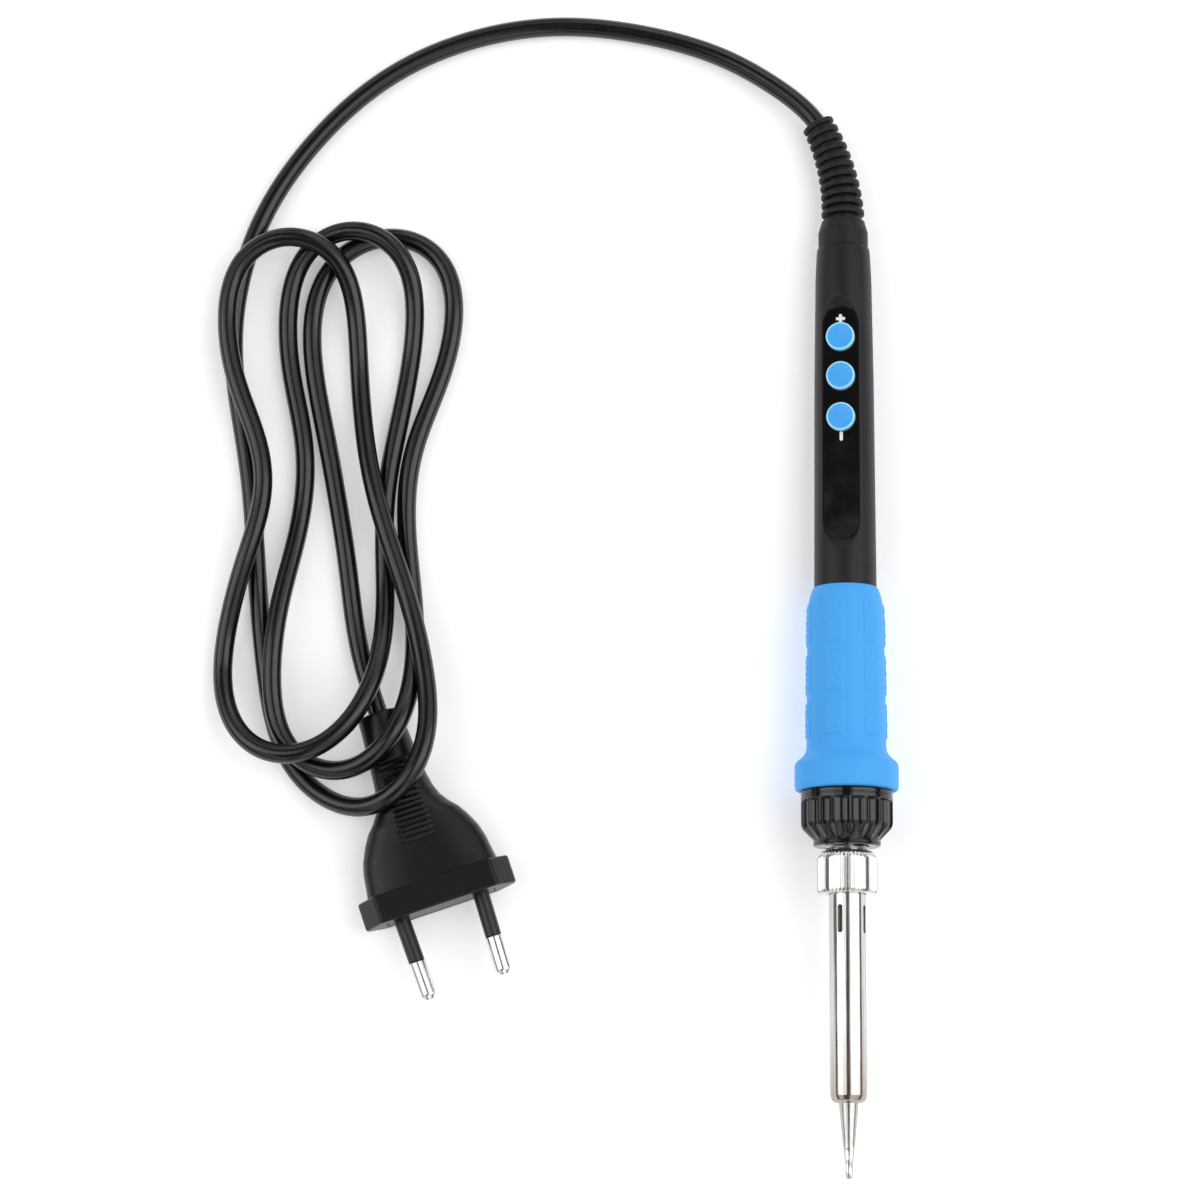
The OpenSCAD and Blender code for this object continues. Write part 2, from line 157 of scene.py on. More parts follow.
def spaced(line, step):
    d = np.r_[0, np.cumsum(np.linalg.norm(np.diff(line, axis=0), axis=1))]
    t = np.linspace(0, d[-1], int(round(d[-1] / step)) + 1)
    return np.stack([np.interp(t, d, line[:, k]) for k in range(3)], 1)


def through(points, step):
    """a centripetal curve through the points"""
    p = np.asarray(points, float)
    q = np.vstack([2 * p[0] - p[1], p, 2 * p[-1] - p[-2]])
    out = []
    for i in range(1, len(q) - 2):
        p0, p1, p2, p3 = q[i - 1:i + 3]
        t1 = np.linalg.norm(p1 - p0) ** 0.5
        t2 = t1 + np.linalg.norm(p2 - p1) ** 0.5
        t3 = t2 + np.linalg.norm(p3 - p2) ** 0.5
        for t in np.linspace(t1, t2, max(2, int(np.linalg.norm(p2 - p1) / 0.4)), endpoint=False):
            a1 = (t1 - t) / t1 * p0 + t / t1 * p1
            a2 = (t2 - t) / (t2 - t1) * p1 + (t - t1) / (t2 - t1) * p2
            a3 = (t3 - t) / (t3 - t2) * p2 + (t - t2) / (t3 - t2) * p3
            b1 = (t2 - t) / t2 * a1 + t / t2 * a2
            b2 = (t3 - t) / (t3 - t1) * a2 + (t - t1) / (t3 - t1) * a3
            out.append((t2 - t) / (t2 - t1) * b1 + (t - t1) / (t2 - t1) * b2)
    return spaced(np.array(out + [p[-1]]), step)


def settle(points, stiff=300.0, step=2.0, rounds=70, gap=4.5, want=13.4, add=4.0, most=200.0):
    """lets a springy cord relax: it keeps to its route, bends no tighter than it can, and its strands lie on each other and on the table"""
    line0 = through(points, step)
    n = len(line0)
    aim = line0.copy()
    d3, d2 = np.zeros((n - 3, n)), np.zeros((n - 2, n))
    for i in range(n - 3):
        d3[i, i:i + 4] = (-1, 3, -3, 1)
    for i in range(n - 2):
        d2[i, i:i + 3] = (1, -2, 1)
    soft = np.zeros(n - 2)
    hold = np.ones(n)
    hold[:3] = hold[-3:] = 1e4
    base = stiff * (d3.T @ d3) + np.diag(hold)
    floor = CORD_R + 0.1
    idx = np.arange(n)
    near = np.abs(idx[:, None] - idx[None]) <= 8
    k7 = (0.3, 0.6, 0.9, 1, 0.9, 0.6, 0.3)

    def spread(v):
        w = np.r_[np.zeros(3), v, np.zeros(3)]
        return np.max([k7[m] * w[m:m + n] for m in range(7)], axis=0)

    for it in range(rounds):
        line = np.linalg.solve(base + d2.T @ (soft[:, None] * d2), hold[:, None] * aim)
        a, b, c = line[:-2], line[1:-1], line[2:]
        r = (np.linalg.norm(b - a, axis=1) * np.linalg.norm(c - b, axis=1) * np.linalg.norm(c - a, axis=1)
             / np.maximum(2 * np.linalg.norm(np.cross(b - a, c - a), axis=1), 1e-9))
        if it < rounds - 15:
            soft = np.minimum(soft + add * np.minimum(np.convolve((r < want).astype(float), (0.5, 1, 0.5), "same"), 1), most)
        d = line[:, None] - line[None]
        q = np.sqrt((d ** 2).sum(2))
        q[near] = 99
        i, j = np.where(q < gap)
        keep = i < j
        i, j = i[keep], j[keep]
        lift, lower = np.zeros(n), np.zeros(n)
        if len(i):
            up = line[i, 2] >= line[j, 2]
            top, bot = np.where(up, i, j), np.where(up, j, i)
            need = gap - q[i, j]
            np.maximum.at(lift, top, need * 0.8)
            free = line[bot, 2] > floor + 0.1
            np.maximum.at(lower, bot[free], need[free] * 0.3)
        aim[:, 2] += spread(lift) * 0.6 - spread(lower) * 0.6
        aim[:, 2] += np.maximum(floor - line[:, 2], 0) * 0.8
    return line


cord_line = settle([boot_end - 4 * boot_out, boot_end] + [np.array(p, float) for p in ROUTE] + [neck_end, neck_end + 3 * plug_out])
cord_fine = through(cord_line[::2], 1.0) * MM

# ---------------------------------------------------------------- material kit


class Mat:
    """a small builder for one procedural material"""

    def __init__(self, name, color=(0.5, 0.5, 0.5), rough=0.5, metal=0.0, **sockets):
        self.m = bpy.data.materials.new(name)
        self.m.use_nodes = True
        self.t = self.m.node_tree
        self.t.nodes.clear()
        self.out = self.t.nodes.new("ShaderNodeOutputMaterial")
        self.b = self.t.nodes.new("ShaderNodeBsdfPrincipled")
        self.t.links.new(self.b.outputs["BSDF"], self.out.inputs["Surface"])
        self.b.inputs["Base Color"].default_value = (*color, 1)
        self.b.inputs["Roughness"].default_value = rough
        self.b.inputs["Metallic"].default_value = metal
        for k, v in sockets.items():
            self.b.inputs[k.replace("_", " ")].default_value = v
        self.color, self.rough, self.height = color, rough, None
        self.m.diffuse_color = (*color, 1)
        tc = self.t.nodes.new("ShaderNodeTexCoord")
        self.obj = tc.outputs["Object"]

    def node(self, kind, **props):
        n = self.t.nodes.new(kind)
        for k, v in props.items():
            setattr(n, k, v)
        return n

    def link(self, a, b):
        self.t.links.new(a, b)

    def local(self, plug=False):
        """coordinates along the iron's own axes (or the plug's), in metres"""
        n = self.node("ShaderNodeMapping", vector_type="TEXTURE")
        r, t = (PLUG_R, PLUG_FACE) if plug else (LAY_R, LAY_T)
        n.inputs["Location"].default_value = tuple(t * MM)
        n.inputs["Rotation"].default_value = Matrix(r.tolist()).to_euler("XYZ")
        self.link(self.obj, n.inputs["Vector"])
        return n.outputs["Vector"]

    def stretch(self, vec, scale):
        n = self.node("ShaderNodeMapping")
        n.inputs["Scale"].default_value = scale
        self.link(vec, n.inputs["Vector"])
        return n.outputs["Vector"]

    def noise(self, scale, detail=3.0, rough=0.55, vec=None):
        n = self.node("ShaderNodeTexNoise")
        n.inputs["Scale"].default_value = scale
        n.inputs["Detail"].default_value = detail
        n.inputs["Roughness"].default_value = rough
        self.link(vec or self.obj, n.inputs["Vector"])
        return n.outputs["Fac"]

    def cells(self, scale, vec=None):
        n = self.node("ShaderNodeTexVoronoi")
        n.inputs["Scale"].default_value = scale
        self.link(vec or self.obj, n.inputs["Vector"])
        return n.outputs["Distance"]

    def span(self, fac, lo, hi, a=0.3, b=0.7):
        n = self.node("ShaderNodeMapRange")
        n.clamp = True
        for k, v in zip(("From Min", "From Max", "To Min", "To Max"), (a, b, lo, hi)):
            n.inputs[k].default_value = v
        self.link(fac, n.inputs["Value"])
        return n.outputs["Result"]

    def mix(self, fac, a, b):
        n = self.node("ShaderNodeMix", data_type="RGBA")
        self.link(fac, n.inputs[0])
        for k, v in ((6, a), (7, b)):
            if hasattr(v, "is_output"):
                self.link(v, n.inputs[k])
            else:
                n.inputs[k].default_value = (*v, 1)
        return n.outputs[2]

    def vary_color(self, fac, a, b):
        self.link(self.mix(fac, a, b), self.b.inputs["Base Color"])
        return self

    def vary_rough(self, fac, lo, hi, a=0.3, b=0.7):
        self.link(self.span(fac, lo, hi, a, b), self.b.inputs["Roughness"])
        return self

    def bump(self, height, distance, strength=1.0):
        n = self.node("ShaderNodeBump")
        n.inputs["Distance"].default_value = distance
        n.inputs["Strength"].default_value = strength
        self.link(height, n.inputs["Height"])
        if self.height is not None:
            self.link(self.height, n.inputs["Normal"])
        self.height = n.outputs["Normal"]
        self.link(self.height, self.b.inputs["Normal"])
        return self

    def attr(self, name):
        n = self.node("ShaderNodeAttribute", attribute_name=name)
        return n.outputs["Fac"]


def plastic(name, color, rough=0.5, grain=5000, depth=1.2e-5, var=0.25, **sockets):
    """moulded plastic or rubber with a fine eroded grain"""
    m = Mat(name, color, rough, **sockets)
    cloud = m.noise(120, 4)
    fine = m.noise(grain, 2)
    m.vary_color(cloud, tuple(c * (1 - var * 0.5) for c in color), tuple(min(1, c * (1 + var * 0.5)) for c in color))
    m.vary_rough(fine, max(0.02, rough - 0.06), min(1, rough + 0.07))
    m.bump(fine, depth)
    return m


def metal(name, color, rough=0.2, lines=None, depth=2e-6, var=0.12, plug=False):
    """turned or drawn metal: fine lines round it, and a cloudy roughness"""
    m = Mat(name, color, rough, 1.0)
    vec = m.local(plug)
    cloud = m.noise(260, 4, vec=vec)
    turned = m.noise(1.0, 3, vec=m.stretch(vec, lines or (300, 300, 9000)))
    m.vary_color(cloud, tuple(c * (1 - var) for c in color), color)
    m.vary_rough(turned, max(0.03, rough - 0.05), rough + 0.08)
    m.bump(turned, depth)
    return m


M = {}
M["handle"] = plastic("handle_black", (0.0105, 0.0098, 0.0122), 0.42, 5200, 9e-6, Specular_IOR_Level=0.28)
M["relief"] = plastic("relief_rubber", (0.0088, 0.0083, 0.0098), 0.5, 3500, 1.2e-5, Specular_IOR_Level=0.3)
M["collar"] = plastic("collar_nylon", (0.004, 0.004, 0.0045), 0.11, 2600, 2e-6)
M["cord"] = plastic("cord_pvc", (0.0034, 0.0032, 0.0042), 0.2, 1500, 5e-6)
M["plug"] = plastic("plug_pvc", (0.0026, 0.0024, 0.0034), 0.34, 2400, 1.0e-5, Specular_IOR_Level=0.3)
M["sleeve"] = plastic("pin_sleeve", (0.006, 0.006, 0.007), 0.34, 2600, 6e-6)
M["grip"] = plastic("grip_rubber", (0.052, 0.395, 0.93), 0.56, 4200, 1.1e-5, 0.06)
M["button"] = Mat("button_blue", (0.055, 0.40, 0.93), 0.3)
_b = M["button"]
# the pale cyan ring on each cap's outer edge is a painted highlight: a lighter base colour standing in for the bevel's
# reflection
_b.vary_color(_b.attr("rim"), (0.06, 0.40, 0.92), (0.42, 0.84, 1.0))
_b.vary_rough(_b.noise(900, 3), 0.24, 0.38)
_b.bump(_b.noise(6000, 2), 5e-6)
M["panel"] = Mat("panel_gloss", (0.0016, 0.0015, 0.002), 0.07)
_p = M["panel"]
_p.vary_rough(_p.noise(180, 5), 0.045, 0.14)
_p.bump(_p.noise(260, 2), 6e-6)
M["mark"] = plastic("mark_white", (0.86, 0.86, 0.86), 0.5, 3000, 4e-6, 0.05)
M["barrel"] = metal("barrel_steel", (0.66, 0.645, 0.63), 0.13, (7000, 7000, 160), 3e-6)
_m = M["barrel"]
_v = _m.local()
_sep = _m.node("ShaderNodeSeparateXYZ")
_m.link(_v, _sep.inputs[0])
_heat = _m.span(_sep.outputs["Z"], 1.0, 0.0, 0.017, 0.034)
_tint = _m.mix(_heat, (0.70, 0.685, 0.67), (0.50, 0.445, 0.40))
_cl = _m.span(_m.noise(1.0, 4, 0.65, vec=_m.stretch(_v, (1700, 1700, 30))), 0.0, 1.0, 0.32, 0.62)
_dark = _m.mix(_cl, (0.68, 0.665, 0.65), (1, 1, 1))
_mul = _m.node("ShaderNodeMix", data_type="RGBA", blend_type="MULTIPLY")
_mul.inputs[0].default_value = 1.0
_m.link(_tint, _mul.inputs[6])
_m.link(_dark, _mul.inputs[7])
_m.link(_mul.outputs[2], _m.b.inputs["Base Color"])
M["nut"] = metal("nut_nickel", (0.80, 0.785, 0.765), 0.18)
M["nipple"] = metal("nipple_steel", (0.72, 0.70, 0.68), 0.24)
M["tip"] = metal("tip_plating", (0.5, 0.48, 0.465), 0.2)
_m = M["tip"]
_v = _m.local()
_sep = _m.node("ShaderNodeSeparateXYZ")
_m.link(_v, _sep.inputs[0])
_edge = _m.node("ShaderNodeMath", operation="MULTIPLY_ADD")
_m.link(_m.noise(900, 3, vec=_v), _edge.inputs[0])
_edge.inputs[1].default_value = 0.0022
_m.link(_sep.outputs["Z"], _edge.inputs[2])
_tin = _m.span(_edge.outputs[0], 1.0, 0.0, 0.0078, 0.0084)
_m.vary_color(_tin, (0.50, 0.475, 0.455), (0.74, 0.74, 0.745))
_m.bump(_m.noise(1500, 3, vec=_v), 3e-5, 0.5)
M["pin"] = metal("pin_nickel", (0.86, 0.845, 0.82), 0.16, (9000, 300, 300), plug=True)
M["ceramic"] = plastic("ceramic", (0.78, 0.77, 0.74), 0.4, 3000, 4e-6, 0.05)
M["fibre"] = plastic("sleeving", (0.74, 0.70, 0.6), 0.8, 2500, 2e-5, 0.1)
M["copper"] = metal("lead_wire", (0.78, 0.6, 0.34), 0.3)
M["board"] = Mat("board_green", (0.012, 0.12, 0.045), 0.35)
_g = M["board"]
_tr = _g.node("ShaderNodeTexBrick")
_g.link(_g.stretch(_g.local(), (1, 1, 1)), _tr.inputs["Vector"])
_tr.inputs["Scale"].default_value = 900
_tr.inputs["Mortar Size"].default_value = 0.06
_g.vary_color(_tr.outputs["Fac"], (0.012, 0.12, 0.045), (0.03, 0.22, 0.08))
_g.vary_rough(_g.noise(400, 3), 0.28, 0.45)
_g.bump(_tr.outputs["Fac"], 2e-5)
M["chip"] = plastic("chip_black", (0.012, 0.012, 0.013), 0.45, 5000, 6e-6)
M["yellow"] = plastic("film_yellow", (0.75, 0.42, 0.05), 0.4, 2500, 8e-6, 0.08)
M["navy"] = plastic("can_sleeve", (0.02, 0.03, 0.11), 0.3, 1800, 6e-6)
M["tan"] = plastic("resistor_tan", (0.5, 0.36, 0.2), 0.5, 2800, 8e-6, 0.1)
M["brown"] = plastic("mains_wire", (0.16, 0.06, 0.025), 0.4, 2200, 8e-6, 0.1)
M["lcd"] = Mat("display_glass", (0.17, 0.21, 0.16), 0.12)
M["lcd"].vary_color(M["lcd"].noise(300, 3), (0.15, 0.19, 0.145), (0.19, 0.235, 0.18)).vary_rough(M["lcd"].noise(200, 3), 0.08, 0.16)
M["white"] = plastic("display_frame", (0.7, 0.7, 0.69), 0.45, 3000, 6e-6, 0.06)
M["can"] = metal("switch_can", (0.7, 0.69, 0.67), 0.3)
M["black"] = plastic("plunger_black", (0.012, 0.012, 0.012), 0.4, 4000, 6e-6)

CAD_LOOKS = {"heater_rod": "ceramic", "heater_base": "ceramic", "heater_leads": "copper", "lead_sleeves": "fibre",
    "plunger_plus": "black", "plunger_power": "black", "plunger_minus": "black", "tact_switches": "can",
    "circuit_board": "board", "display_backing": "white", "display_glass": "lcd", "control_chip": "chip", "triac": "chip",
    "film_capacitor": "yellow", "round_capacitor": "navy", "fuse_resistor": "tan", "diodes": "chip", "mains_leads": "brown"}
for n, look in CAD_LOOKS.items():
    o = NODES[n]
    if not o.material_slots:
        o.data.materials.append(M[look].m)
    for s in o.material_slots:
        s.material = M[look].m

# ---------------------------------------------------------------- mesh kit


def smooth_path(pts, closed=False, n=5):
    """fillets: pts are (r, s) or (r, s, fillet); each corner with a fillet becomes an arc with guard points"""
    out, k = [], len(pts)
    for i, p in enumerate(pts):
        f = p[2] if len(p) > 2 else 0
        if f <= 0 or (not closed and i in (0, k - 1)):
            out.append((p[0], p[1]))
            continue
        a, b, c = np.array(pts[i - 1][:2], float), np.array(p[:2], float), np.array(pts[(i + 1) % k][:2], float)
        u, v = a - b, c - b
        lu, lv = np.linalg.norm(u), np.linalg.norm(v)
        u, v = u / lu, v / lv
        cosang = float(np.clip(u @ v, -1, 1))
        half = math.acos(cosang) / 2
        t = min(f / max(math.tan(half), 1e-6), 0.45 * lu, 0.45 * lv)
        if t < 1e-4 or abs(half - math.pi / 2) < 0.01:
            out.append((b[0], b[1]))
            continue
        r = t * math.tan(half)
        centre = b + (u + v) / np.linalg.norm(u + v) * (r / math.sin(half))
        p0, p1 = b + u * t, b + v * t
        a0 = math.atan2(*(p0 - centre)[::-1])
        a1 = math.atan2(*(p1 - centre)[::-1])
        da = (a1 - a0 + math.pi) % TAU - math.pi
        g = min(0.12, 0.2 * lu)
        if lu * 0.5 > t + g:
            out.append(tuple(p0 + u * g))
        for q in range(n + 1):
            w = a0 + da * q / n
            out.append((centre[0] + r * math.cos(w), centre[1] + r * math.sin(w)))
        g = min(0.12, 0.2 * lv)
        if lv * 0.5 > t + g:
            out.append(tuple(p1 + v * g))
    return out


def densify(path, step, closed=False):
    out = []
    k = len(path)
    for i in range(k if closed else k - 1):
        a, b = np.array(path[i], float), np.array(path[(i + 1) % k], float)
        m = max(1, int(math.ceil(np.linalg.norm(b - a) / step)))
        out += [tuple(a + (b - a) * q / m) for q in range(m)]
    if not closed:
        out.append(tuple(path[-1]))
    return out


def lathe(path, n=96, shape=None, closed=True, phase=0.0):
    """turns (r, z) points about z. shape(theta, r, z, i) returns the radii. Returns verts (mm) and faces."""
    th = np.arange(n) * TAU / n + phase
    rows, faces, start = [], [], []
    count = 0
    for i, (r, z) in enumerate(path):
        if r < 1e-6:
            rows.append(np.array([[0, 0, z]]))
            start.append((count, 1))
            count += 1
            continue
        rr = np.full(n, float(r)) if shape is None else np.asarray(shape(th, float(r), float(z), i), float) * np.ones(n)
        rows.append(np.stack([rr * np.sin(th), rr * np.cos(th), np.full(n, float(z))], 1))
        start.append((count, n))
        count += n
    k = len(path)
    for i in range(k if closed else k - 1):
        (a, na), (b, nb) = start[i], start[(i + 1) % k]
        if na == 1 and nb == 1:
            continue
        for c in range(n):
            d = (c + 1) % n
            if na == 1:
                faces.append((a, b + d, b + c))
            elif nb == 1:
                faces.append((a + c, a + d, b))
            else:
                faces.append((a + c, a + d, b + d, b + c))
    return np.vstack(rows), faces


def make(name, verts, faces, body, nodes, mat, place=lay, sharp=38, weighted=True, attrs=None, fix=True):
    me = bpy.data.meshes.new(name)
    co = place(verts) if place else np.asarray(verts)
    me.from_pydata([tuple(v) for v in co], [], [tuple(f) for f in faces])
    me.validate()
    for a, vals in (attrs or {}).items():
        at = me.attributes.new(a, "FLOAT", "POINT")
        at.data.foreach_set("value", np.asarray(vals, np.float32))
    if fix:
        bm = bmesh.new()
        bm.from_mesh(me)
        bmesh.ops.recalc_face_normals(bm, faces=bm.faces)
        bm.to_mesh(me)
        bm.free()
    o = bpy.data.objects.new(name, me)
    scene.collection.objects.link(o)
    me.materials.append(mat.m)
    me.shade_smooth()
    me.set_sharp_from_angle(angle=math.radians(sharp))
    if weighted:
        w = o.modifiers.new("weighted", "WEIGHTED_NORMAL")
        w.keep_sharp = True
        w.weight = 80
    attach(o, body)
    if nodes:
        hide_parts(*nodes)
    return o


def cut(o, cutters, sharp=38):
    """exact boolean cuts, applied"""
    for c in cutters:
        m = o.modifiers.new("cut", "BOOLEAN")
        m.operation, m.solver, m.object = "DIFFERENCE", "EXACT", c
        while o.modifiers[0] != m:
            o.modifiers.move(len(o.modifiers) - 1, 0)
    bpy.context.view_layer.update()
    dg = bpy.context.evaluated_depsgraph_get()
    keep = [m for m in o.modifiers if m.type != "BOOLEAN"]
    for m in keep:
        m.show_viewport = False
    bpy.context.view_layer.update()
    dg = bpy.context.evaluated_depsgraph_get()
    me = bpy.data.meshes.new_from_object(o.evaluated_get(dg), depsgraph=dg)
    for m in list(o.modifiers):
        if m.type == "BOOLEAN":
            o.modifiers.remove(m)
    for m in o.modifiers:
        m.show_viewport = True
    o.data = me
    while len(me.materials) > 1:
        me.materials.pop()
    me.polygons.foreach_set("material_index", np.zeros(len(me.polygons), np.int32))
    me.shade_smooth()
    me.set_sharp_from_angle(angle=math.radians(sharp))
    for c in cutters:
        bpy.data.objects.remove(c)


def cutter(verts, faces, place=lay):
    me = bpy.data.meshes.new("cutter")
    me.from_pydata([tuple(v) for v in place(verts)], [], [tuple(f) for f in faces])
    bm = bmesh.new()
    bm.from_mesh(me)
    bmesh.ops.recalc_face_normals(bm, faces=bm.faces)
    bm.to_mesh(me)
    bm.free()
    o = bpy.data.objects.new("cutter", me)
    scene.collection.objects.link(o)
    return o


def prism(outline, h0, h1, to3):
    """a closed prism from a 2D outline; to3(a, b, h) gives the 3D point"""
    n = len(outline)
    v = [to3(a, b, h0) for a, b in outline] + [to3(a, b, h1) for a, b in outline]
    f = [tuple(range(n - 1, -1, -1)), tuple(range(n, 2 * n))]
    f += [(i, (i + 1) % n, n + (i + 1) % n, n + i) for i in range(n)]
    return np.array(v, float), f


def stadium(hw, s0, s1, n=24):
    out = []
    for q in range(n + 1):
        a = math.pi + math.pi * q / n
        out.append((hw * math.cos(a), s0 + hw + hw * math.sin(a)))
    for q in range(n + 1):
        a = math.pi * q / n
        out.append((hw * math.cos(a), s1 - hw + hw * math.sin(a)))
    return out


def circle(cx, cs, r, n=64):
    return [(cx + r * math.cos(TAU * i / n), cs + r * math.sin(TAU * i / n)) for i in range(n)]


up3 = lambda a, b, h: (a, h, b)


def sstep(x, a, b):
    t = np.clip((np.asarray(x, float) - a) / (b - a), 0, 1)
    return t * t * (3 - 2 * t)


# ---------------------------------------------------------------- cord
cu = bpy.data.curves.new("cord", "CURVE")
cu.dimensions = "3D"
sp = cu.splines.new("POLY")
sp.points.add(len(cord_fine) - 1)
sp.points.foreach_set("co", np.c_[cord_fine, np.ones(len(cord_fine))].ravel())
sp.use_smooth = True
cu.bevel_depth = CORD_R * MM
cu.bevel_resolution = 7
cu.use_fill_caps = True
cu.materials.append(M["cord"].m)
cord_piece = bpy.data.objects.new("mains_cord", cu)
scene.collection.objects.link(cord_piece)
BODY = {n: (lambda b: b if isinstance(b, str) else b[0])(body_of(NODES[n])) for n in NODES}
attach(cord_piece, BODY["cord"])
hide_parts("cord")

# ---------------------------------------------------------------- strain relief
ribs, pitch = 11, BOOT_RAD * BOOT_BEND / 11
prof = [(0, 205.8), (4.85, 205.8, 0.3), (4.85, 211.5), (5.7, 211.62, 0.35), (5.7, 215.5, 1.6), (5.08, 217.6, 1.0), (4.95, 218.2, 0.3), (3.5, 218.35)]
for i in range(ribs):
    u = 218.5 + (i + 0.5) * pitch
    core, rr = 3.5 - 0.05 * i, 4.95 - 0.115 * i
    prof += [(core, u - 0.22), (rr, u - 0.05, 0.42), (rr, u + 1.15, 0.42), (core, u + 1.3)]
u_end = 218.5 + BOOT_RAD * BOOT_BEND
prof = prof[:-1] + [(2.95, u_end - 0.42), (3.5, u_end - 0.3, 0.15), (3.5, u_end, 0.3), (2.45, u_end, 0.2), (2.4, u_end - 5), (0, u_end - 5)]


def bend_boot(v):
    v = np.array(v, float)
    a = np.clip((v[:, 2] - S_BOOT) / BOOT_RAD, 0, None)
    on = v[:, 2] > S_BOOT
    x = np.where(on, BOOT_RAD - (BOOT_RAD - v[:, 0]) * np.cos(a), v[:, 0])
    z = np.where(on, S_BOOT + (BOOT_RAD - v[:, 0]) * np.sin(a), v[:, 2])
    return np.stack([x, v[:, 1], z], 1)


v, f = lathe(smooth_path(prof), 72, closed=False)
make("strain_relief_boot", bend_boot(v), f, BODY["strain_relief"], ["strain_relief"], M["relief"], lay_flat)

# ---------------------------------------------------------------- plug
SECTIONS = np.array([[6.3, 15.2, 6.5, 3.2], [9, 14.8, 6.4, 3], [12, 14.4, 6.3, 2.9], [15, 13.6, 6.25, 2.8], [18, 12.2, 6.2, 2.6],
    [20.5, 10.7, 6.15, 2.5], [22.5, 8.9, 6.05, 2.3], [24.5, 7.5, 5.95, 2.2], [27, 6.6, 5.85, 2.1], [30, 6.0, 5.75, 2],
    [36, 5.45, 5.4, 2], [42, 5.05, 5.0, 2], [46, 4.85, 4.8, 2]])
us = np.r_[np.arange(6.0, 45.4, 0.22), 45.4, 45.7, 45.9, 46.0]
na = 160
ang = np.arange(na) * TAU / na
verts, faces = [], []
for j, u in enumerate(us):
    w, h, q = (np.interp(u, SECTIONS[:, 0], SECTIONS[:, k]) for k in (1, 2, 3))
    inset = 0.35 * max(0.0, (u - 45.4) / 0.6) ** 2
    c, s_ = np.cos(ang), np.sin(ang)
    x = (w - inset) * np.sign(c) * np.abs(c) ** (2 / q)
    y = (h - inset) * np.sign(s_) * np.abs(s_) ** (2 / q)
    rib = 0.5 - 0.5 * np.cos(TAU * (u - 15.6) / 1.25)
    panel = (1 - sstep(np.abs(x), 3.3, 3.9)) * sstep(u, 15.2, 15.8) * (1 - sstep(u, 34.4, 35.0)) * (np.abs(s_) > 0.3)
    y = y + np.sign(s_) * panel * (0.42 * rib - 0.16)
    # a fine moulding line down each side
    x = x + np.sign(c) * 0.09 * np.exp(-(y / 0.28) ** 2) * (np.abs(c) > 0.5) * (u < 45.2)
    verts += list(np.stack([x, y, np.full(na, -u)], 1))
for j in range(len(us) - 1):
    for k in range(na):
        m = (k + 1) % na
        faces.append((j * na + k, (j + 1) * na + k, (j + 1) * na + m, j * na + m))
faces.append(tuple(range(na)))
base = (len(us) - 1) * na
inner = [(base + k) for k in range(na)]
for rr, uu in ((2.45, 46.0), (2.4, 42.5)):
    st = len(verts)
    verts += [np.array([rr * math.cos(a), rr * math.sin(a), -uu]) for a in ang]
    for k in range(na):
        m = (k + 1) % na
        faces.append((inner[k], inner[m], st + m, st + k))
    inner = [st + k for k in range(na)]
faces.append(tuple(inner))
body = make("plug_moulding", np.array(verts), faces, BODY["plug_body"], ["plug_body"], M["plug"], on_plug, 42, False)

bm = bmesh.new()
hexa = [(17.65, 1.2), (13.6, 6.85), (-13.6, 6.85), (-17.65, 1.2), (-17.65, -1.2), (-13.6, -6.85), (13.6, -6.85), (17.65, -1.2)]
lo = [bm.verts.new((x, y, -6.4)) for x, y in hexa]
hi = [bm.verts.new((x, y, 0)) for x, y in hexa]
bm.faces.new(lo[::-1])
bm.faces.new(hi)
for i in range(8):
    j = (i + 1) % 8
    bm.faces.new((lo[i], lo[j], hi[j], hi[i]))
bmesh.ops.recalc_face_normals(bm, faces=bm.faces)
bmesh.ops.bevel(bm, geom=list(bm.edges), offset=0.6, segments=4, profile=0.5, affect="EDGES")
bm.verts.ensure_lookup_table()
bm.verts.index_update()
fv = np.array([v.co[:] for v in bm.verts])
ff = [tuple(v.index for v in f.verts) for f in bm.faces]
bm.free()
flange = make("plug_flange", fv, ff, BODY["plug_body"], None, M["plug"], on_plug, 42)


def rounded_rect(hx, hy, r, n=6):
    out = []
    for cx, cy, a0 in ((hx - r, hy - r, 0), (-hx + r, hy - r, 90), (-hx + r, -hy + r, 180), (hx - r, -hy + r, 270)):
        out += [(cx + r * math.cos(math.radians(a0 + 90 * q / n)), cy + r * math.sin(math.radians(a0 + 90 * q / n))) for q in range(n + 1)]
    return out


flat3 = lambda a, b, h: (a, b, h)
cut(flange, [cutter(*prism(rounded_rect(12.62, 3.62, 0.5), -3.0, 1, flat3), on_plug)], 42)


def plate(outline, z0, z1, edge, to3, shrink):
    """a plate with a rounded upper edge: rings of an outline that shrinks towards the top"""
    rings = [(0.0, z0), (0.0, z1 - edge)] + [(edge * (1 - math.cos(a)), z1 - edge + edge * math.sin(a)) for a in np.linspace(0, math.pi / 2, 5)[1:]]
    v, f = [], []
    n = len(outline)
    for ins, h in rings:
        v += [to3(a, b, h) for a, b in shrink(ins)]
    f.append(tuple(range(n - 1, -1, -1)))
    for k in range(len(rings) - 1):
        f += [(k * n + i, k * n + (i + 1) % n, (k + 1) * n + (i + 1) % n, (k + 1) * n + i) for i in range(n)]
    f.append(tuple(range((len(rings) - 1) * n, len(rings) * n)))
    return np.array(v, float), f


rr0 = rounded_rect(12.5, 3.5, 0.45)
v, f = plate(rr0, -2.95, -0.02, 0.25, flat3, lambda i: rounded_rect(12.5 - i, 3.5 - i, 0.45 - i * 0.9))
bridge = make("plug_bridge_plate", v, f, BODY["plug_bridge"], ["plug_bridge"], M["plug"], on_plug, 42)


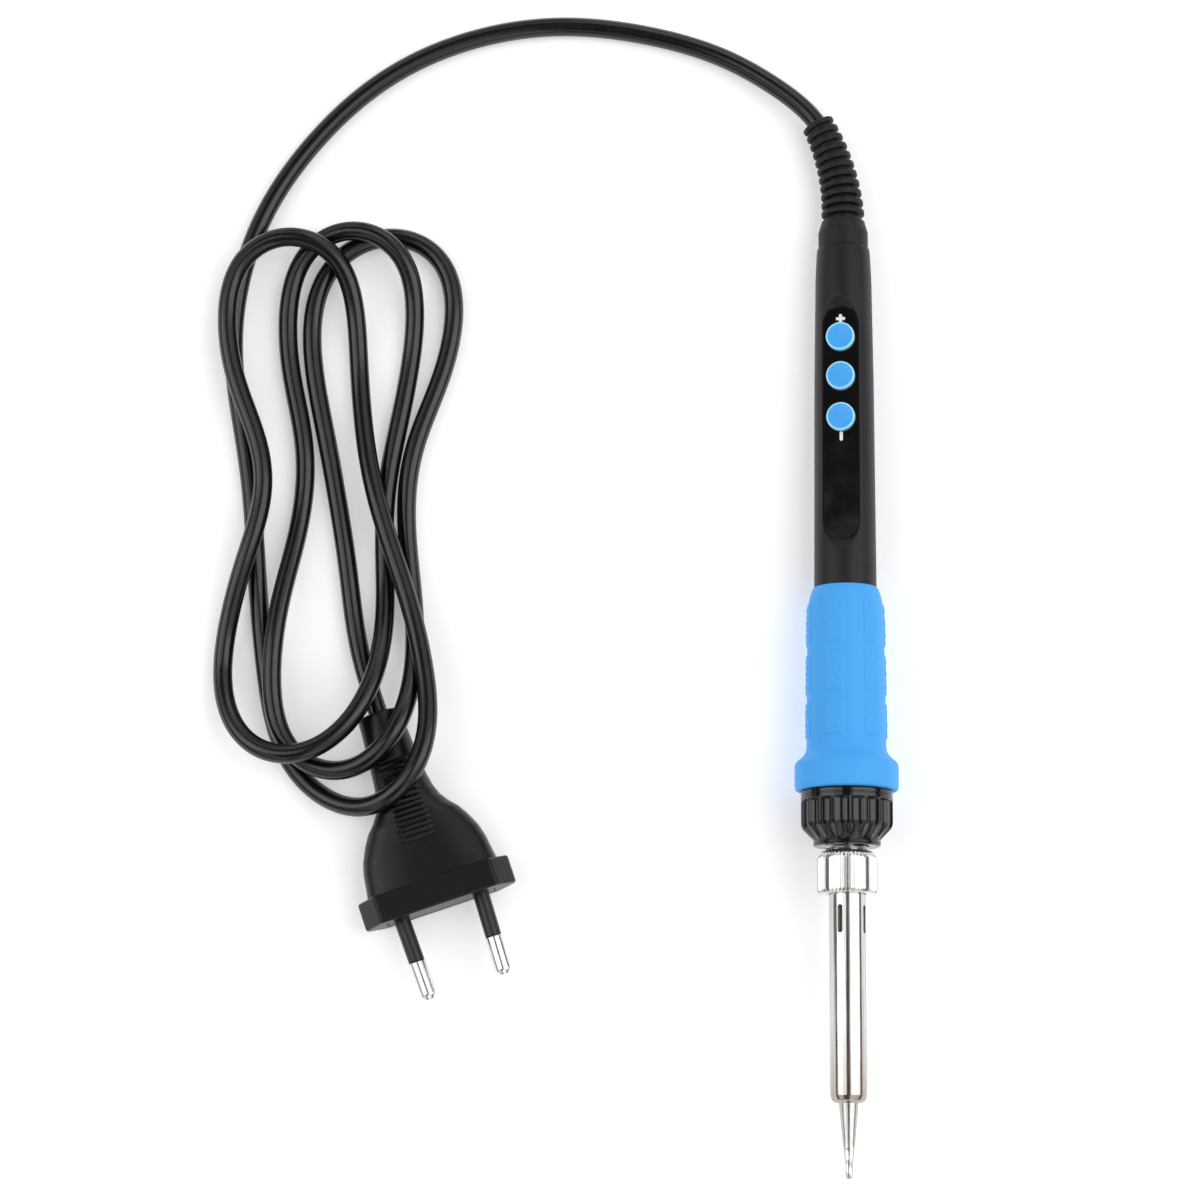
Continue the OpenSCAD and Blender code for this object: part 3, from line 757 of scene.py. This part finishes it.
def pin_place(side):
    a = -side * math.radians(1.66)

    def put(v):
        v = np.asarray(v, float)
        w = v @ rot_y(a).T
        w[:, 0] += side * 9.3
        return on_plug(w)
    return put


holes = []
for sd in (-1, 1):
    v, f = prism(circle(0, 0, 1.9, 48), -4, 2, flat3)
    holes.append(cutter(v, f, pin_place(sd)))
cut(bridge, holes, 42)
for sd, tag in ((-1, "a"), (1, "b")):
    v, f = lathe(smooth_path([(1.5, -0.6), (1.84, -0.6), (1.84, 9.9, 0.12), (1.5, 9.98)], True), 64)
    make("pin_sleeve_" + tag, v, f, BODY["pin_sleeves"], ["pin_sleeves"], M["sleeve"], pin_place(sd))
    v, f = lathe(smooth_path([(0, -2.8), (1.48, -2.8, 0.2), (1.48, 10.0), (2.0, 10.02, 0.18), (2.0, 17.9, 1.0), (1.25, 18.95, 0.5), (0, 19.0)]), 72, closed=False)
    make("plug_pin_" + tag, v, f, BODY["plug_pins"], ["plug_pins"], M["pin"], pin_place(sd))

# ---------------------------------------------------------------- tip
rng = np.random.default_rng(7)
ph = rng.uniform(0, TAU, 6)


def tinned(th, r, s, i):
    if s > 8.2 or r < 0.5:
        return r
    k = (1 - float(sstep(s, 6.6, 7.6))) * float(sstep(s, 0.2, 1.2))
    lump = 0.035 * np.sin(2 * th + 1.1 * s + ph[0]) + 0.03 * math.sin(1.9 * s + ph[1]) + 0.02 * np.sin(3 * th - 2.1 * s + ph[2])
    return r + k * (0.05 + lump)


taper = [(0.77 + (2.2 - 0.77) * (s - 0.7) / 15.9, s) for s in np.arange(0.7, 16.6, 0.25)]
prof = [(0, 0), (0.25, 0.015), (0.46, 0.08), (0.62, 0.2), (0.71, 0.35)] + taper + [(2.2, 16.6), (2.3, 18.4)] + \
    smooth_path([(2.3, 18.45), (3.25, 18.5, 0.2), (3.25, 44, 0.2), (2.0, 44), (2.0, 21.4), (0, 21.4)])[1:]
v, f = lathe(prof, 72, tinned, closed=False)
make("tinned_tip", v, f, BODY["tip"], ["tip"], M["tip"])

# ---------------------------------------------------------------- barrel with its four slots
prof = smooth_path([(2.5, 18.4), (2.5, 16.65, 0.12), (2.95, 16.6, 0.25), (3.75, 17.15, 0.7), (4.1, 18.2, 1.5), (4.12, 19.4), (4.12, 40), (4.12, 53), (4.12, 61), (4.12, 62.4), (3.95, 62.4),
    (3.95, 63.95), (4.85, 63.95, 0.1), (4.85, 64.65, 0.1), (3.4, 64.65), (3.4, 18.4)], True)
v, f = lathe(densify(prof, 4.0, True), 144)
barrel = make("slotted_barrel", v, f, BODY["tip_barrel"], ["tip_barrel"], M["barrel"])
cs = []
for k in range(4):
    a = math.radians(-16 + 90 * k)
    pv, pf = prism(stadium(0.6, 53.8, 60.1), 2.5, 5.0, up3)
    cs.append(cutter(pv @ rot_z(a).T, pf))
cut(barrel, cs)

# ---------------------------------------------------------------- knurled nut
TEETH = 44


def knurl(th, r, s, i):
    if r < 5.5:
        return r
    k = float(sstep(s, 62.6, 62.95)) * (1 - float(sstep(s, 70.6, 71.5)))
    w = (th * TEETH / TAU) % 1
    tooth = np.clip(1.35 * np.abs(2 * w - 1), 0, 1)
    return r - 0.34 * k * tooth


prof = smooth_path([(4.25, 65.6), (4.25, 62.6, 0.15), (6.0, 62.6, 0.2), (6.5, 62.9, 0.3), (6.7, 63.5, 0.3)], False)
prof += [(6.7, s) for s in np.arange(63.7, 70.5, 0.6)]
prof += smooth_path([(6.7, 70.55), (6.4, 71.2), (5.85, 72.0, 0.2), (5.0, 72.0, 0.1), (5.0, 65.6)], False)
v, f = lathe(prof, TEETH * 8, knurl)
make("knurled_nut", v, f, BODY["tip_nut"], ["tip_nut"], M["nut"], sharp=30)

# ---------------------------------------------------------------- threaded nipple


def screw(pitch_, depth, s0, s1, r0):
    def shape(th, r, s, i):
        if abs(r - r0) > 0.02 or s < s0 or s > s1:
            return r
        w = (s / pitch_ - th / TAU) % 1
        k = min(1.0, (s - s0) / pitch_, (s1 - s) / pitch_)
        return r - depth * k * np.clip(2.2 * np.abs(w - 0.5) - 0.1, 0, 1)
    return shape


rows = [(4.93, s) for s in np.arange(65.0, 75.85, 0.11)]
prof = [(2.6, 77.25), (2.6, 64.7), (4.7, 64.7), (4.93, 64.9)] + rows + [(4.93, 75.9)] + smooth_path([(4.93, 75.92), (7.0, 75.92, 0.15), (7.0, 77.25, 0.15), (2.6, 77.25)])[1:-1]
v, f = lathe(prof, 96, screw(0.75, 0.3, 65.2, 75.6, 4.93))
make("threaded_nipple", v, f, BODY["heater_nipple"], ["heater_nipple"], M["nipple"], sharp=50)

# ---------------------------------------------------------------- scooped collar
SCOOPS = 18


def scoops(th, r, s, i):
    if r < 7.3 or s < 73.6:
        return r
    psi = -(th + ROLL)
    d = (psi - math.radians(10)) % (TAU / SCOOPS)
    d = np.minimum(d, TAU / SCOOPS - d)
    rt = np.sqrt(np.maximum(2.25 ** 2 - (11.75 * np.sin(d)) ** 2, 0))
    cutr = 11.75 * np.cos(d) - rt
    cutr = np.where(11.75 * np.sin(d) < 2.25, cutr, 99.0)
    full = np.minimum(10.3, cutr)
    drop = np.clip(10.3 - full, 0, None)
    # soft ridges between the scoops
    k = float(sstep(s, 73.9, 75.8)) * (1 - float(sstep(s, 82.9, 83.6)))
    scale = 0.55 + 0.45 * float(sstep(s, 75.0, 77.9))
    soft = np.where(drop > 0, drop, 0) * k * scale
    return r - soft


prof = [(5.0, 73.2)] + smooth_path([(5.0, 73.2), (7.1, 73.2, 0.15), (7.45, 73.35, 0.15), (7.6, 73.85, 0.25), (7.5, 74.7), (10.05, 77.4, 0.9), (10.3, 78.3)])[1:]
prof = [prof[0]] + densify(prof[1:], 0.3)
prof += [(10.3, s) for s in np.arange(78.6, 82.7, 0.6)] + [(10.3, s) for s in np.arange(82.8, 83.75, 0.12)]
prof += smooth_path([(10.3, 83.8), (10.3, 84.2, 0.05), (10.16, 84.3), (10.16, 84.5), (10.3, 84.6, 0.05), (10.3, 85.4, 0.2), (10.05, 85.6), (8.37, 85.6), (8.37, 77.3), (7.15, 77.3), (7.15, 75.8), (5.0, 75.8)])
v, f = lathe(prof, SCOOPS * 16, scoops)
make("scooped_collar", v, f, BODY["locking_collar"], ["locking_collar"], M["collar"], sharp=42)

# ---------------------------------------------------------------- grip
G_S = [92.3, 93.0, 93.7, 94.2, 94.8, 95.6, 97.4, 106.3, 117.4, 124.0, 128.2, 130.0, 131.3, 131.75, 131.9]
G_R = [11.1, 10.25, 9.6, 9.28, 9.05, 8.93, 8.92, 8.84, 8.70, 8.60, 8.38, 8.05, 7.58, 7.36, 7.22]
BANDS = [(97.2, 105.7), (106.9, 116.7), (118.1, 128.4)]


def pads(th, r, s, i):
    if r < 7.6 or s < 96:
        return r
    k = 0.0
    for a, b in BANDS:
        k = max(k, float(sstep(s, a, a + 0.7)) * (1 - float(sstep(s, b - 0.7, b))))
    d = (th - math.radians(10) + math.pi / 6) % (math.pi / 3) - math.pi / 6
    across = 1 - sstep(np.abs(d), math.radians(12.4), math.radians(15.2))
    out = r + 0.26 * k * across
    # small raised dots in staggered rows
    row = math.floor((s - 97) / 1.45)
    ds = (s - 97) - (row + 0.5) * 1.45
    wide = d * r
    off = 0.85 * (row % 2)
    dw = (wide + off + 0.85) % 1.7 - 0.85
    inside = (np.abs(wide) < 1.9) * (k > 0.98)
    dot = np.clip(1 - (dw ** 2 + ds ** 2) / 0.55 ** 2, 0, 1) ** 0.5
    return out + 0.10 * dot * inside


prof = smooth_path([(8.4, 88.0), (8.4, 85.7), (10.9, 85.7, 0.3), (11.45, 85.95, 0.3), (11.65, 86.7, 0.4), (11.65, 91.3, 0.4), (11.45, 91.9, 0.3), (11.1, 92.3)])
prof += [(float(np.interp(s, G_S, G_R)), s) for s in np.r_[np.arange(92.5, 96.8, 0.2), np.arange(96.9, 128.8, 0.18), np.arange(128.9, 131.9, 0.2), 131.9]]
prof += [(7.1, 131.9), (7.1, 88.0)]
v, f = lathe(prof, 384, pads)
make("padded_grip", v, f, BODY["grip_sleeve"], ["grip_sleeve"], M["grip"], sharp=45, weighted=False)

# ---------------------------------------------------------------- handle
H_S = [87.9, 133, 180, 205, 210.6]
H_R = [7.05, 7.05, 6.78, 6.42, 6.1]


def bore(th, r, s, i):
    if abs(r - 5.6) < 1e-6 and 140.35 < s < 198.65:
        c = np.cos(th)
        return np.where(c > 0.2, np.minimum(5.6, 3.9 / np.maximum(c, 0.2)), 5.6)
    return screw(1.5, 0.42, 77.7, 86.6, 8.3)(th, r, s, i)


prof = smooth_path([(5.6, 77.3), (8.1, 77.3, 0.2), (8.3, 77.6)])
prof += [(8.3, s) for s in np.arange(77.7, 86.8, 0.14)]
prof += [(8.3, 87.9), (7.05, 87.9)] + [(float(np.interp(s, H_S, H_R)), s) for s in np.arange(90, 210.6, 3.0)]
prof += smooth_path([(6.1, 210.6), (6.0, 211.4, 0.3), (5.85, 211.6, 0.1), (5.0, 211.6), (5.0, 203), (5.6, 203)])
prof += [(5.6, 198.7), (5.6, 198.6)] + [(5.6, s) for s in np.arange(190, 141, -8.0)] + [(5.6, 140.4), (5.6, 140.3), (5.6, 110)]
v, f = lathe(prof, 192, bore)
handle = make("handle_tube", v, f, BODY["handle_shell"], ["handle_shell"], M["handle"], sharp=48)

# the pocket's cutter follows the handle's surface, so that its rim is rounded off evenly
S0, S1, HW = 142.34, 196.66, 4.16
outl = []
for q in range(41):
    a = math.pi + math.pi * q / 40
    outl.append((HW * math.cos(a), S0 + HW + HW * math.sin(a), math.cos(a), math.sin(a), 1.25))
for s in np.linspace(S0 + HW, S1 - HW, 20)[1:-1]:
    outl.append((HW, s, 1, 0, 0))
for q in range(41):
    a = math.pi * q / 40
    outl.append((HW * math.cos(a), S1 - HW + HW * math.sin(a), math.cos(a), math.sin(a), 1.75))
for s in np.linspace(S1 - HW, S0 + HW, 20)[1:-1]:
    outl.append((-HW, s, -1, 0, 0))


def surf(x, s):
    r = float(np.interp(s, H_S, H_R))
    return math.sqrt(max(r * r - x * x, 0.01))


rings = [[], [], [], [], [], []]
for x, s, nx, ns, flare in outl:
    k = flare * abs(ns) ** 1.5
    t = 0.5
    for _ in range(30):
        t = 0.5 * t + 0.5 * (surf(x + nx * k * t, s + ns * k * t) - 5.2)
    px, ps = x + nx * k * (t - 0.16), s + ns * k * (t - 0.16)
    qx, qs = x + nx * (k * t + 0.16), s + ns * (k * t + 0.16)
    mx, ms = x + nx * (k * (t - 0.05) + 0.05), s + ns * (k * (t - 0.05) + 0.05)
    rings[0].append((x, 4.65, s))
    rings[1].append((x, 5.2, s))
    rings[2].append((px, 5.2 + t - 0.16, ps))
    rings[3].append((mx, 5.2 + t - 0.045, ms))
    rings[4].append((qx, surf(qx, qs) + 0.015, qs))
    rings[5].append((qx, 9.0, qs))
n = len(outl)
v = np.array(sum(rings, []), float)
f = [tuple(range(n - 1, -1, -1)), tuple(range(5 * n, 6 * n))]
for k in range(5):
    f += [(k * n + i, k * n + (i + 1) % n, (k + 1) * n + (i + 1) % n, (k + 1) * n + i) for i in range(n)]
cs = [cutter(v, f)]
BUTTONS = (189.4, 180.2, 170.6)
for s in BUTTONS:
    cs.append(cutter(*prism(circle(0, s, 3.37), 3.0, 5.0, up3)))
cs.append(cutter(*prism([(-3.1, 147), (3.1, 147), (3.1, 162), (-3.1, 162)], 3.0, 5.0, up3)))
cut(handle, cs, 48)

# ---------------------------------------------------------------- panel, marks, buttons
oval = stadium(4.1, 142.4, 196.6, 32)
v, f = plate(oval, 4.66, 5.2, 0.14, up3, lambda i: stadium(4.1 - i, 142.4 + i, 196.6 - i, 32))
panel = make("gloss_panel", v, f, BODY["panel_cover"], ["panel_cover"], M["panel"])
cut(panel, [cutter(*prism(circle(0, s, 3.35), 3.0, 6.0, up3)) for s in BUTTONS])


def bar(x0, x1, s0, s1, r, n=7):
    out = []
    for cx, cs_, a0 in ((x1 - r, s1 - r, 0), (x0 + r, s1 - r, 90), (x0 + r, s0 + r, 180), (x1 - r, s0 + r, 270)):
        out += [(cx + r * math.cos(math.radians(a0 + 90 * q / n)), cs_ + r * math.sin(math.radians(a0 + 90 * q / n))) for q in range(n + 1)]
    return out


def plus_outline(cs_, arm, hw, r, ins=0.0):
    arm, hw = arm - ins, hw - ins
    quad = []
    for q in range(4):
        a = math.pi / 2 * q
        pts = [(hw, hw + 0.12), (hw + 0.04, hw + 0.04), (hw + 0.12, hw), (arm - r, hw)]
        pts += [(arm - r + r * math.cos(b), hw - r + r * math.sin(b)) for b in np.linspace(math.pi / 2, 0, 5)[1:]]
        pts += [(arm - r + r * math.cos(b), -hw + r + r * math.sin(b)) for b in np.linspace(0, -math.pi / 2, 5)]
        c, s_ = math.cos(-a), math.sin(-a)
        quad += [(x * c - y * s_, cs_ + x * s_ + y * c) for x, y in pts]
    return quad


v, f = plate(plus_outline(193.75, 1.05, 0.36, 0.2), 5.2, 5.26, 0.03, up3, lambda i: plus_outline(193.75, 1.05, 0.36, 0.2, i))
make("mark_plus", v, f, BODY["panel_marks"], ["panel_marks"], M["mark"], sharp=60, weighted=False)
v, f = plate(bar(-0.38, 0.38, 165.15, 167.25, 0.3), 5.2, 5.26, 0.03, up3, lambda i: bar(-0.38 + i, 0.38 - i, 165.15 + i, 167.25 - i, 0.28))
make("mark_minus", v, f, BODY["panel_marks"], ["panel_marks"], M["mark"], sharp=60, weighted=False)

for s, node in zip(BUTTONS, ("button_plus", "button_power", "button_minus")):
    prof = smooth_path([(0, 2.0), (1.3, 2.0, 0.1), (1.3, 3.05), (3.8, 3.05, 0.08), (3.8, 3.8, 0.08), (3.25, 3.8), (3.25, 6.48, 0.38), (2.75, 6.5)], n=7)
    prof += [(2.5, 6.47), (2.1, 6.42), (1.4, 6.37), (0.7, 6.35), (0, 6.34)]
    v, f = lathe(prof, 96, closed=False)
    w = np.stack([v[:, 0], v[:, 2], s + v[:, 1]], 1)
    rad = np.hypot(v[:, 0], v[:, 1])
    # mask of the cap's outer top edge, where the button material paints its pale highlight
    rim = sstep(rad, 2.84, 3.0) * (v[:, 2] > 6.05)
    make(node + "_cap", w, f, BODY[node], [node], M["button"], attrs={"rim": rim}, sharp=60)

# ---------------------------------------------------------------- floor and light
me = bpy.data.meshes.new("floor")
me.from_pydata([(-14, -14, 0), (14, -14, 0), (14, 14, 0), (-14, 14, 0)], [], [(0, 1, 2, 3)])
floor = bpy.data.objects.new("floor", me)
scene.collection.objects.link(floor)
fl = Mat("floor_white", (0.9, 0.9, 0.905), 0.7)
fl.b.inputs["Specular IOR Level"].default_value = 0.2
fl.vary_color(fl.noise(2, 2), (0.895, 0.895, 0.9), (0.905, 0.905, 0.91))
fl.b.inputs["Emission Color"].default_value = (1, 1, 1, 1)
fl.b.inputs["Emission Strength"].default_value = 0.32
me.materials.append(fl.m)


def softbox(name, at, size, power, look=(-0.055, 0.0, 0.0), color=(1, 1, 1)):
    d = bpy.data.lights.new(name, "AREA")
    d.shape = "RECTANGLE"
    d.size, d.size_y = size
    d.energy = power
    d.color = color
    o = bpy.data.objects.new(name, d)
    scene.collection.objects.link(o)
    o.location = at
    q = (Vector(look) - Vector(at)).to_track_quat("-Z", "Y")
    o.rotation_mode = "QUATERNION"
    o.rotation_quaternion = q
    return o


softbox("box_left", (-0.95, 0.05, 0.95), (0.7, 1.5), 5.0)
softbox("box_right", (0.85, 0.05, 0.95), (0.7, 1.5), 5.0)
softbox("box_back", (-0.05, 1.3, 0.9), (1.4, 0.5), 2.0)
softbox("box_front", (-0.05, -1.3, 0.8), (1.4, 0.4), 1.2)
# a light tent: bright on its slopes, darker straight above and down at its edge
world = bpy.data.worlds.new("world")
world.use_nodes = True
wt = world.node_tree
bg = wt.nodes["Background"]
wc = wt.nodes.new("ShaderNodeTexCoord")
ws = wt.nodes.new("ShaderNodeSeparateXYZ")
wt.links.new(wc.outputs["Generated"], ws.inputs[0])
wa = wt.nodes.new("ShaderNodeMath")
wa.operation = "ARCTAN2"
wt.links.new(ws.outputs["X"], wa.inputs[0])
wt.links.new(ws.outputs["Z"], wa.inputs[1])
wm = wt.nodes.new("ShaderNodeMapRange")
for k, val in zip(("From Min", "From Max", "To Min", "To Max"), (-math.pi / 2, math.pi / 2, 0.0, 1.0)):
    wm.inputs[k].default_value = val
wt.links.new(wa.outputs[0], wm.inputs["Value"])
wr = wt.nodes.new("ShaderNodeValToRGB")
# degrees from straight up, and how bright the tent is there
tent = [(-90, 0.1), (-78, 0.14), (-66, 0.85), (-44, 0.95), (-36, 0.3), (-27, 0.12), (-7, 0.09), (3, 0.12), (9, 0.9), (34, 1.0), (62, 0.9), (76, 0.16), (90, 0.1)]
for i, (at, val) in enumerate(tent):
    at = (at + 90) / 180
    e = wr.color_ramp.elements[0] if i == 0 else wr.color_ramp.elements[-1] if i == len(tent) - 1 else wr.color_ramp.elements.new(at)
    e.position = at
    e.color = (val, val, val, 1)
wt.links.new(wm.outputs["Result"], wr.inputs["Fac"])
wt.links.new(wr.outputs["Color"], bg.inputs["Color"])
bg.inputs["Strength"].default_value = 1.0
scene.world = world
scene.view_settings.view_transform = "Standard"

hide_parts("plug_body")
